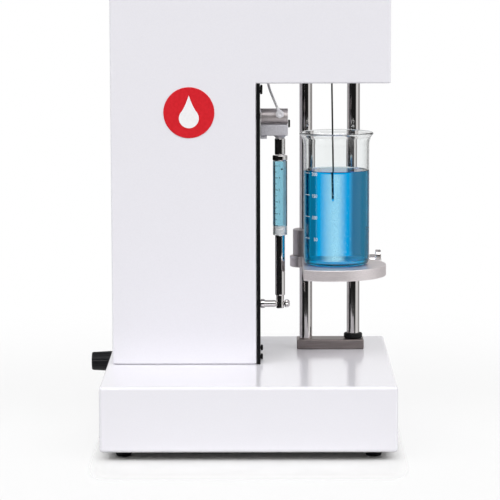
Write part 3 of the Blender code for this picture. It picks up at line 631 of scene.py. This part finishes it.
def build_plunger():
    low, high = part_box("plunger_rod")
    centre = seat("plunger_rod")
    height = (high.z - low.z) / MM
    step = 12.0
    profile = [(0, height), (4.1, height), (4.5, height - 0.5), (4.5, step + 0.7), (4.0, step)]
    profile += [(3.55, step), (3.55, 0.4), (3.15, 0), (0, 0)]
    piece = lathe("chrome_plunger_rod", profile, 0.3, centre)
    pin_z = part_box("drive_pin")[0].z + 4.2 * MM
    boolean(piece, "DIFFERENCE", rod("hole", 1.9, 14, (centre.x - 7 * MM, centre.y, pin_z), "X"))
    show(piece, "drive", POLISHED, ["plunger_rod"])

    seal = [(0, 8.2), (4.4, 8.2), (5.0, 7.6), (5.0, 6.4), (4.7, 6.1), (4.7, 5.5), (5.0, 5.2)]
    seal += [(5.0, 2.9), (4.1, 0), (0, 0)]
    piece = lathe("seal", seal, 0.3, seat("plunger_seal"))
    show(piece, "drive", GLOWING_POLYMER, ["plunger_seal"])


def curved_patch(name, centre, radius, angles, heights, thickness, steps=6):
    """A thin raised patch on the outside of a cylinder. Angles are measured from the front, in degrees."""
    shape = bmesh.new()
    rows = []
    for step in range(steps + 1):
        turn = math.radians(angles[0] + (angles[1] - angles[0]) * step / steps)
        row = []
        outer = radius + thickness
        corners = ((radius, heights[0]), (outer, heights[0]), (outer, heights[1]), (radius, heights[1]))
        for reach, height in corners:
            x, y = centre.x + reach * math.sin(turn), centre.y - reach * math.cos(turn)
            row.append(shape.verts.new((x, y, height)))
        rows.append(row)
    for row, after in zip(rows, rows[1:]):
        for side in range(4):
            follow = (side + 1) % 4
            shape.faces.new((row[side], row[follow], after[follow], after[side]))
    shape.faces.new(rows[0][::-1])
    shape.faces.new(rows[-1])
    bmesh.ops.recalc_face_normals(shape, faces=shape.faces)
    return piece_from(name, shape)


def joined(name, pieces):
    shape = bmesh.new()
    for piece in pieces:
        shape.from_mesh(piece.data)
        bpy.data.objects.remove(piece)
    return piece_from(name, shape)


def wrapped_number(text, size, centre, radius, angle, height):
    """A number printed on the outside of a cylinder, from an angle to its right, its middle at a height."""
    font = bpy.data.curves.new("number", "FONT")
    font.body = text
    font.size = size
    font.align_y = "CENTER"
    font.extrude = PRINT_THICKNESS / 2
    font.resolution_u = 3
    mesh = welded(mesh_from("number_guide", font), WELD)
    for vertex in mesh.vertices:
        turn = math.radians(angle) + vertex.co.x / radius
        reach = radius + PRINT_THICKNESS / 2 + vertex.co.z
        x, y = centre.x + reach * math.sin(turn), centre.y - reach * math.cos(turn)
        vertex.co = (x, y, height + vertex.co.y)
    return link("number", mesh)


def build_syringe():
    low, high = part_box("syringe_barrel")
    centre = seat("syringe_barrel")
    radius = (high.x - low.x) / 2
    length = high.z - low.z
    middle = (BARREL_BORE + 0.6 * MM, length)
    profile = [middle, (radius, length), (radius, 0), (BARREL_BORE, 0), (BARREL_BORE, length), middle]
    barrel = turned("glass_barrel", round_corners(profile, 0.4 * MM)[:-1], centre, closed=True)
    show(barrel, "root", BARREL_GLASS, ["syringe_barrel"])
    wet(barrel, centre, BARREL_BORE + 0.1 * MM, low.z - MM, high.z)

    seal_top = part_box("plunger_seal")[1].z
    depth, reach = high.z - seal_top, BARREL_BORE + 0.05 * MM
    column = [(0, depth), (reach, depth), (reach, 0), (0, 0)]
    filling = turned("syringe_filling", column, (centre.x, centre.y, seal_top))
    show(filling, "root", PALE_LIQUID)
    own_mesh(filling)

    build_syringe_scale(centre, radius, low.z, high.z)

    collar = [(1.5, 5.1), (6.3, 5.1), (6.85, 4.5), (6.85, 0.6), (6.3, 0), (1.5, 0)]
    piece = lathe("clamp_collar", collar, 0.3, seat("syringe_collar"), closed=True)
    show(piece, "root", POLISHED, ["syringe_collar"])
    neck = [(1.5, 15.2), (4.4, 15.2), (4.85, 14.7), (4.85, 0.5), (4.4, 0), (1.5, 0)]
    piece = lathe("neck", neck, 0.3, seat("syringe_neck"), closed=True)
    show(piece, "root", POLISHED, ["syringe_neck"])


def build_syringe_scale(centre, radius, bottom, top):
    """A printed scale of fifty small strokes, the longer ones numbered, and a dot."""
    strokes = []
    first, pitch = bottom + 9 * MM, 1.1 * MM
    for count in range(51):
        end = -18 if count % 10 == 0 else (-28 if count % 5 == 0 else -40)
        height = first + count * pitch
        heights = (height - 0.24 * MM, height + 0.24 * MM)
        stroke = curved_patch("stroke", centre, radius + 0.01 * MM, (-66, end), heights, PRINT_THICKNESS)
        strokes.append(stroke)
    for count in range(1, 6):
        height = first + count * 10 * pitch
        strokes.append(wrapped_number(str(count), 2.8 * MM, centre, radius, -12, height))
    dot = rod("dot", 0.85, 0.05, (0, 0, 0), "-Y", 24)
    turn = math.radians(14)
    offset = Vector((radius * math.sin(turn), -radius * math.cos(turn) - 0.02 * MM, 0))
    spot = Matrix.Translation(Vector((centre.x, centre.y, top - 7.2 * MM)) + offset)
    dot.data.transform(spot @ Matrix.Rotation(turn, 4, "Z"))
    strokes.append(dot)
    show(joined("syringe_scale", strokes), "root", INK)


# ------------------------------------------------------------------ valve


def build_valve():
    low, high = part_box("valve_body")
    place = seat("valve_body", "X")
    radius, length = (high.z - low.z) / 2, high.x - low.x
    bore, depth = 3.5 * MM, 22 * MM
    profile = [(0, length), (radius, length), (radius, 0), (bore, 0), (bore, depth), (0, depth)]
    body = turned("valve_cylinder", round_corners(profile, 0.4 * MM), place, "X")
    show(body, "root", ALUMINIUM, ["valve_body"])
    outer, inner = radius + 0.15 * MM, radius - 0.3 * MM
    rim = turned("valve_rim", [(outer, MM), (outer, 0), (inner, 0), (inner, MM)], place, "X", closed=True)
    show(rim, "root", BRUSHED)

    show(refined("valve_bracket", 0.5 * MM), "root", BLASTED, ["valve_bracket"])

    place = seat("valve_clamp_screw", "X")
    head = [(0, 1.0), (1.6, 1.0), (1.6, 1.8), (3.0, 1.8), (3.6, 1.2), (3.6, 0), (0, 0)]
    screw = lathe("clamp_head", head, 0.3, place, "X", 64)
    show(screw, "root", ANODISED, ["valve_clamp_screw"])
    build_fitting()


def build_fitting():
    """A hexagonal banjo fitting with a ring on its face and a spigot for the tube."""
    low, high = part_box("tube_fitting")
    x, z = high.x - 3.9 * MM, low.z + 3.9 * MM
    radius = 4.0 * MM
    angles = [math.radians(angle) for angle in range(0, 360, 60)]
    hexagon = [(x + radius * math.sin(angle), z + radius * math.cos(angle)) for angle in angles]
    nut = outline_prism("hex_fitting", hexagon, low.y + 0.8 * MM, low.y + 3.4 * MM, "Y")
    soften(nut, 0.35 * MM, 4)
    collar = lathe("collar", [(0, 4.0), (3.5, 4.0), (3.5, 0), (0, 0)], 0.2, (x, high.y, z), "-Y")
    ring = [(0, 3.9), (1.5, 3.9), (1.5, 4.5), (2.3, 4.5), (2.3, 0), (0, 0)]
    boss = lathe("boss", ring, 0.2, (x, low.y + 4.5 * MM, z), "-Y")
    tip = [(0, 6.2 * MM), (1.4 * MM, 6.2 * MM), (1.7 * MM, 5.4 * MM), (1.7 * MM, 0), (0, 0)]
    spigot = turned("spigot", tip, (0, 0, 0), "Z", 48)
    lean = Matrix.Rotation(math.radians(-22.8), 4, "Y")
    spigot.data.transform(Matrix.Translation((x, low.y + 2.6 * MM, z)) @ lean)
    boolean(nut, "UNION", collar, boss, spigot)
    show(nut, "root", FITTING_POLYMER, ["tube_fitting"])


# ------------------------------------------------------------------ columns and platform


def build_columns():
    for side in ("left", "right"):
        name = "column_" + side
        low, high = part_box(name)
        radius, length = (high.x - low.x) / 2, high.z - low.z
        profile = [(0, length), (radius, length), (radius, 0), (0, 0)]
        piece = turned("polished_" + name, round_corners(profile, 0.4 * MM), seat(name), "Z", 128)
        show(piece, "root", POLISHED, [name])
    show(refined("column_foot", 0.4 * MM), "root", DARK_ALUMINIUM, ["column_foot"])
    ring = [(6.3, 4.9), (7.9, 4.9), (8.7, 4.1), (8.7, 0.8), (7.9, 0), (6.3, 0)]
    piece = lathe("rubber_ring", ring, 0.5, seat("stop_ring"), closed=True)
    show(piece, "root", RUBBER, ["stop_ring"])


def platform_outline():
    low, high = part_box("platform")
    left, right = seat("column_left"), seat("column_right")
    radius, lobe = 49.5 * MM, 15 * MM
    centre = (high.x - radius, low.y + radius)
    flat_x = centre[0] - 27.1 * MM
    flat = math.degrees(math.acos((centre[0] - flat_x) / radius))
    edge = right.x + lobe
    meet = math.degrees(math.acos((edge - centre[0]) / radius))
    step_x = flat_x - 3.3 * MM
    back = 180 + math.degrees(math.acos((left.x - step_x) / lobe))
    disc = arc(centre, radius, flat - 180, meet, 120)
    right_lobe = arc((right.x, right.y), lobe, 0, 90, 24)
    left_lobe = arc((left.x, left.y), lobe, 90, back, 40)
    step_y = left_lobe[-1][1] - 1.5 * MM
    return disc + right_lobe + left_lobe + [(step_x, step_y), (flat_x, step_y)]


def build_platform():
    low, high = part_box("platform")
    plate = outline_prism("platform_plate", platform_outline(), low.z, high.z)
    soften(plate, 0.7 * MM, 4, 50)
    bores = []
    for side in ("left", "right"):
        place = seat("column_" + side)
        bores.append(rod("bore", 6.3, 20, (place.x, place.y, low.z - 5 * MM), "Z", 96))
    clamp = seat("clamp_screw", "X")
    hole = rod("hole", 2.8, 14, clamp + Vector((-1 * MM, 0, 0)), "X")
    boolean(plate, "DIFFERENCE", *bores, hole)
    show(plate, "platform", BRUSHED, ["platform"], 30)

    sleeve = [(6.3, 24.9), (11.5, 24.9), (12.2, 24.2), (12.2, 0.4), (11.8, 0), (6.3, 0)]
    piece = lathe("guide_bush", sleeve, 0.3, seat("guide_sleeve"), closed=True)
    show(piece, "platform", ALUMINIUM, ["guide_sleeve"])

    head = [(0, 18.6), (7.4, 18.6), (8.0, 19.4), (9.6, 19.4), (10.2, 18.8), (10.2, 14.6), (9.6, 14.0)]
    head += [(6.0, 14.0), (6.0, 8.6), (2.5, 8.6), (2.5, 0), (0, 0)]
    piece = lathe("clamp_knob", head, 0.3, clamp, "X", 240)
    knurl(piece, clamp, 9.9 * MM, 60, 0.25 * MM)
    show(piece, "platform_clamp", POLISHED, ["clamp_screw"])


# ------------------------------------------------------------------ beaker


def beaker_profile(radius, height):
    """From the middle of the inner floor, up the inside, round the rolled rim and down the outside."""
    inner = radius - GLASS_WALL
    inside = [(0, 2.0 * MM), (inner - 5 * MM, 2.2 * MM), (inner, 3.2 * MM), (inner, 9 * MM)]
    inside += [(inner, height - 9 * MM), (inner + 1.2 * MM, height - 4 * MM)]
    rim_centre = (radius + 2.3 * MM, height - 1.3 * MM)
    bead = arc(rim_centre, 1.3 * MM, 165, -45, 12)
    outside = [(radius + 1.2 * MM, height - 4.6 * MM), (radius, height - 10 * MM), (radius, 7 * MM)]
    outside += [(radius - 0.8 * MM, 0.6 * MM), (radius - 6 * MM, 0), (0, 0.5 * MM)]
    wall_in = round_corners(inside, 4 * MM, 6)
    wall_out = round_corners([bead[-1], *outside], 4 * MM, 8)
    return wall_in + bead[:-1] + wall_out


def pull_spout(piece, centre, top):
    """Draws the rim out into a pouring spout at its left."""
    half_width, depth = 0.5, 11 * MM
    for vertex in piece.data.vertices:
        offset = vertex.co - centre
        turn = math.atan2(offset.y, -offset.x)
        lift = max(0.0, 1 - (top - vertex.co.z) / depth)
        if abs(turn) > half_width or not lift:
            continue
        share = (0.5 + 0.5 * math.cos(turn / half_width * math.pi)) * lift**2
        vertex.co.x -= 0.3 * MM * share
        vertex.co.z -= 0.6 * MM * share
        vertex.co.y -= offset.y * 0.15 * share


def build_beaker():
    low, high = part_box("beaker")
    centre, radius = seat("beaker"), BEAKER_RADIUS
    profile = beaker_profile(radius, high.z - low.z + RIM_ABOVE_NODE)
    piece = turned("glass_beaker", profile, centre, "Z", 192)
    pull_spout(piece, centre, high.z)
    show(piece, "beaker", GLASS, ["beaker"], 60)
    surface_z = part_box("beaker_liquid")[1].z
    wet(piece, centre, radius - 0.9 * MM, low.z + 1.2 * MM, surface_z)

    level = surface_z - low.z
    inner = radius - GLASS_WALL + LIQUID_OVERLAP
    meniscus = [(0, level), (inner - 3 * MM, level), (inner - 0.9 * MM, level + 0.2 * MM)]
    wall = [(inner, level + 0.8 * MM), (inner, 9 * MM), (inner, 3.14 * MM), (inner - 5 * MM, 2.14 * MM)]
    wall.append((0, 1.94 * MM))
    filling = turned("beaker_filling", meniscus + round_corners(wall, 4 * MM, 6), centre, "Z", 192)
    channel = rod("channel", 1.0, 60, (0, 0, 0), "Z", 24)
    channel.data.transform(capillary_place(-0.3 * MM))
    boolean(filling, "DIFFERENCE", channel)
    show(filling, "beaker", LIQUID, ["beaker_liquid"], 40)
    build_bubbles(centre, inner, low.z, surface_z)
    build_graduations(centre, radius, low.z)


def around_capillary(tree):
    """The glowing bubble film, which is painted light, leaves out the narrow gap in front of the capillary,
    down to its tip.
    """
    low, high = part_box("capillary")
    lean = (high.x - low.x - 2 * CAPILLARY_RADIUS) / (high.z - low.z)
    gap_x = high.x - CAPILLARY_RADIUS - 1.2 * MM
    x, _, z = axes_from(tree, (gap_x, 0, low.z))
    offset = calculate(tree, "ADD", calculate(tree, "MULTIPLY", z, lean), x)
    beside = smooth_step(tree, calculate(tree, "ABSOLUTE", offset), 0.7 * MM, 1.4 * MM)
    below = smooth_step(tree, z, 0.5 * MM, -0.5 * MM)
    return calculate(tree, "MAXIMUM", beside, below)


def bubble_film_material(centre):
    """Fine bubbles, too small to tell apart, as a film that glows with painted light: densest in front of
    the axis, thinning out to its sides.
    """
    material, tree, shader = new_material("glowing_bubble_film")
    shader.inputs["Base Color"].default_value = (0.3, 0.42, 0.46, 1)
    shader.inputs["Roughness"].default_value = 0.5
    # The film's emission is painted light, a pale glow in the blue liquid.
    shader.inputs["Emission Color"].default_value = (0.5, 0.86, 1, 1)
    shader.inputs["Emission Strength"].default_value = 0.72
    across = axes_from(tree, (centre.x, 0, 0))[0]
    left = smooth_step(tree, across, -17 * MM, -3 * MM)
    right = smooth_step(tree, across, 9.5 * MM, -1 * MM)
    noise = stretched_noise(tree, (1, 1, 1), 1500, 3.0)
    speck = smooth_step(tree, noise.outputs["Fac"], 0.5, 0.72)
    share = calculate(tree, "MULTIPLY_ADD", speck, 0.3, 0.42)
    for limit in (left, right, around_capillary(tree)):
        share = calculate(tree, "MULTIPLY", share, limit)
    tree.links.new(share, shader.inputs["Alpha"])
    return material


def build_bubbles(centre, radius, bottom, top):
    """Fine gas bubbles in the liquid by the front wall, and single larger ones low down. Both glow a little,
    as painted light.
    """
    film_radius = radius - 0.7 * MM
    heights = (bottom + 5 * MM, top - 1.2 * MM)
    film = curved_patch("glowing_bubble_film", centre, film_radius, (-32, 28), heights, 0.05 * MM, 24)
    show(film, "beaker", bubble_film_material(centre), (), 60)
    shape = bmesh.new()
    for _ in range(BUBBLES):
        size = random.uniform(0.12, 0.26) * MM
        turn = random.gauss(math.radians(-2), math.radians(9))
        height = bottom + 7 * MM + (top - bottom - 12 * MM) * random.random() ** 1.7
        reach = radius - random.uniform(1.2, 4.0) * MM
        place = Vector((centre.x + reach * math.sin(turn), centre.y - reach * math.cos(turn), height))
        bmesh.ops.create_icosphere(shape, subdivisions=1, radius=size, matrix=Matrix.Translation(place))
    show(piece_from("glowing_gas_bubbles", shape), "beaker", GLOWING_BUBBLE, (), 90)


def capillary_place(lift):
    """The place of a point on the leaning capillary's axis, a distance above its tip."""
    low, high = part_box("capillary")
    start = Vector((high.x - CAPILLARY_RADIUS, (low.y + high.y) / 2, low.z))
    end = Vector((low.x + CAPILLARY_RADIUS, start.y, high.z))
    lean = (end - start).to_track_quat("Z", "Y").to_matrix().to_4x4()
    return Matrix.Translation(start + (end - start).normalized() * lift) @ lean


def build_capillary():
    low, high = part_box("capillary")
    length = (high.z - low.z) / MM
    tube = [(0.3, length), (0.78, length), (0.78, 1.2), (0.5, 0), (0.3, 0)]
    piece = lathe("drawn_capillary", tube, 0.1, (0, 0, 0), "Z", 32, closed=True)
    piece.data.transform(capillary_place(0))
    show(piece, "root", DARK_STEEL, ["capillary"])


def build_graduations(centre, radius, bottom):
    """A white stroke and its number every 50 mL, on the left of the front."""
    marks = []
    pitch, first = 19.85 * MM, bottom + 5.5 * MM
    for count, start in ((1, -45), (2, -50), (3, -50), (4, -50)):
        height = first + count * pitch
        heights = (height - 0.28 * MM, height + 0.28 * MM)
        marks.append(curved_patch("mark", centre, radius, (-70, -55), heights, PRINT_THICKNESS))
        marks.append(wrapped_number(str(count * 50), 4.6 * MM, centre, radius, start, height - 0.6 * MM))
    show(joined("beaker_graduations", marks), "beaker", PRINT, (), 60)


# ------------------------------------------------------------------ badge, sample tube and CAD nodes


def drop_outline(centre, radius):
    """A drop: a circle drawn up to a point."""
    points = arc(centre, radius, -225, 45, 40)
    tip = (centre[0], centre[1] + radius * 2.3)
    pull = (centre[0] + radius * 0.32, centre[1] + radius * 1.3)
    side = []
    for step in range(1, 13):
        part = step / 12
        ends = zip(points[-1], pull, tip)
        side.append(tuple((1 - part) ** 2 * a + 2 * part * (1 - part) * b + part**2 * c for a, b, c in ends))
    mirrored = [(2 * centre[0] - across, up) for across, up in side[:-1][::-1]]
    return points + side + mirrored[:-1]


def build_badge():
    """A plain round badge with a drop, on the front of the tower."""
    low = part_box("tower_housing")[0]
    place = ((low.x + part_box("side_plate")[0].x) / 2 + 5 * MM, low.y, BADGE_HEIGHT)
    disc = lathe("front_badge", [(0, 0.5), (23, 0.5), (23, -0.2), (0, -0.2)], 0.3, place, "-Y", 160)
    show(disc, "root", BADGE)
    outline = drop_outline((place[0], place[2] - 5 * MM), 9 * MM)
    drop = outline_prism("badge_drop", outline, low.y - 0.75 * MM, low.y - 0.3 * MM, "Y")
    show(soften(drop, 0.12 * MM, 2), "root", BADGE_WHITE)


def build_sample_tube():
    """The sample tube, its rings of points joined so that it shades as one smooth tube."""
    mesh = welded(bare_copy("sample_tube"), 5 * WELD, outward=True)
    show(link("sample_tube_fine", mesh), "root", TUBE, ["sample_tube"], 70)


def dress_cad_nodes():
    """A material for each CAD node that still shows or sits inside."""
    by_slot = {
        "white_lacquer": LACQUER,
        "black_plastic": BLACK,
        "black_metal": ANODISED,
        "rubber": RUBBER,
        "supply_cage": CAGE,
        "steel": STEEL,
        "polished_steel": POLISHED,
        "satin_aluminium": ALUMINIUM,
        "brass": BRASS,
        "white_polymer": GLOWING_POLYMER,
        "ceramic": CERAMIC,
        "circuit_board": BOARD,
        "clear_glass": GLASS,
        "clear_tube": TUBE,
        "blue_liquid": LIQUID,
    }
    for entry in frame["record"]["subparts"]:
        piece = frame["nodes"][entry["node"]]
        piece.data.materials.clear()
        piece.data.materials.append(by_slot[entry["material_slot"]])
    frame["nodes"]["capillary"].data.materials[0] = STEEL


# ------------------------------------------------------------------ studio


def build_camera():
    camera = link("camera", bpy.data.cameras.new("camera"))
    camera.data.lens = CAMERA_LENS
    camera.data.sensor_width = CAMERA_SENSOR
    camera.data.clip_end = 60
    tilt, pan, roll = (math.radians(angle) for angle in (CAMERA_TILT, CAMERA_PAN, CAMERA_ROLL))
    turn = Matrix.Rotation(pan, 4, "Z") @ Matrix.Rotation(math.pi / 2 - tilt, 4, "X")
    turn = turn @ Matrix.Rotation(roll, 4, "Z")
    camera.matrix_world = Matrix.Translation(CAMERA_PLACE) @ turn
    bpy.context.scene.camera = camera


def blend(tree, share, low, high):
    """A colour between two others. Each is a grey value or an output of another node."""
    mix = node(tree, "ShaderNodeMixRGB")
    tree.links.new(share, mix.inputs["Fac"])
    for socket, value in (("Color1", low), ("Color2", high)):
        if isinstance(value, (int, float)):
            mix.inputs[socket].default_value = (value, value, value, 1)
        else:
            tree.links.new(value, mix.inputs[socket])
    return mix.outputs["Color"]


def build_world():
    """A bright surround: a dark room in front with a soft light above it, and a window straight behind."""
    world = bpy.data.worlds.new("studio")
    bpy.context.scene.world = world
    world.use_nodes = True
    tree = world.node_tree
    background = tree.nodes["Background"]
    place = node(tree, "ShaderNodeTexCoord")
    split = node(tree, "ShaderNodeSeparateXYZ")
    tree.links.new(place.outputs["Generated"], split.inputs["Vector"])
    y, z = split.outputs["Y"], split.outputs["Z"]

    def towards(direction):
        facing = node(tree, "ShaderNodeVectorMath", operation="DOT_PRODUCT")
        facing.inputs[1].default_value = direction
        tree.links.new(place.outputs["Generated"], facing.inputs[0])
        return facing.outputs["Value"]

    # Around the object: light sides, and the dark room in front
    sides = blend(tree, smooth_step(tree, towards(ROOM_DIRECTION), 0.44, 0.56), SIDE_LIGHT, FRONT_LIGHT)
    # At eye level behind it: dim flanks with the bright window between them
    horizon = blend(tree, smooth_step(tree, y, -0.1, 0.25), sides, FLANK_LIGHT)
    window = smooth_step(tree, towards(WINDOW_DIRECTION), 0.935, 0.97)
    horizon = blend(tree, window, horizon, WINDOW_LIGHT)
    # From that level up: the light wall behind, and below it the glow of the floor
    ring = blend(tree, smooth_step(tree, y, 0.1, 0.75), sides, BACK_LIGHT)
    ring = blend(tree, smooth_step(tree, z, 0.0, 0.09), horizon, ring)
    ring = blend(tree, smooth_step(tree, z, -0.2, -0.36), ring, FLOOR_GLOW)
    # Overhead: the soft light to the front, and the ceiling
    above = blend(tree, smooth_step(tree, y, 0.05, -0.35), TOP_LIGHT, SOFTBOX_LIGHT)
    above = blend(tree, smooth_step(tree, z, 0.74, 0.86), above, TOP_LIGHT)
    around = blend(tree, smooth_step(tree, z, 0.42, 0.52), ring, above)
    # The camera itself sees plain white
    seen = node(tree, "ShaderNodeLightPath")
    colour = blend(tree, seen.outputs["Is Camera Ray"], around, 1.0)
    tree.links.new(colour, background.inputs["Color"])


def build_floor():
    """A round white table top, plain under and in front of the base and fading into the white surround."""
    sides = 96
    turns = [math.tau * step / sides for step in range(sides)]
    rim = [(FLOOR_RADIUS * math.cos(turn), FLOOR_RADIUS * math.sin(turn), 0) for turn in turns]
    mesh = bpy.data.meshes.new("floor")
    mesh.from_pydata(rim, [], [tuple(range(sides))])
    floor = link("floor", mesh)
    material, tree, shader = new_material("white_table")
    noise = stretched_noise(tree, (1, 1, 1), 40)
    vary_colour(tree, shader, noise, (0.79, 0.79, 0.79), (0.81, 0.81, 0.81))
    shader.inputs["Roughness"].default_value = 0.8
    place = node(tree, "ShaderNodeTexCoord")
    length = node(tree, "ShaderNodeVectorMath", operation="LENGTH")
    tree.links.new(place.outputs["Object"], length.inputs[0])
    far = smooth_step(tree, length.outputs["Value"], FLOOR_RADIUS * 0.95, FLOOR_RADIUS * 0.35)
    low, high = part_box("base_housing")
    half = (high - low) / 2
    x, y, _ = axes_from(tree, (low + high) / 2)
    beside = smooth_step(tree, calculate(tree, "ABSOLUTE", x), half.x + 18 * MM, half.x - 12 * MM)
    before = smooth_step(tree, calculate(tree, "ABSOLUTE", y), half.y + 110 * MM, half.y + 10 * MM)
    near = calculate(tree, "MULTIPLY", beside, before)
    amount = calculate(tree, "MAXIMUM", near, calculate(tree, "MULTIPLY", far, FLOOR_FAINT))
    tree.links.new(amount, shader.inputs["Alpha"])
    mesh.materials.append(material)


def build_studio():
    build_camera()
    build_world()
    build_floor()
    scene = bpy.context.scene
    scene.view_settings.view_transform = "Standard"
    scene.cycles.max_bounces = 16
    scene.cycles.transmission_bounces = 16
    scene.cycles.transparent_max_bounces = 16


dress_cad_nodes()
build_base()
build_knob()
build_rear_parts()
build_tower()
build_side_plate()
build_drive_pin()
build_plunger()
build_syringe()
build_valve()
build_columns()
build_platform()
build_beaker()
build_capillary()
build_sample_tube()
build_badge()
build_studio()
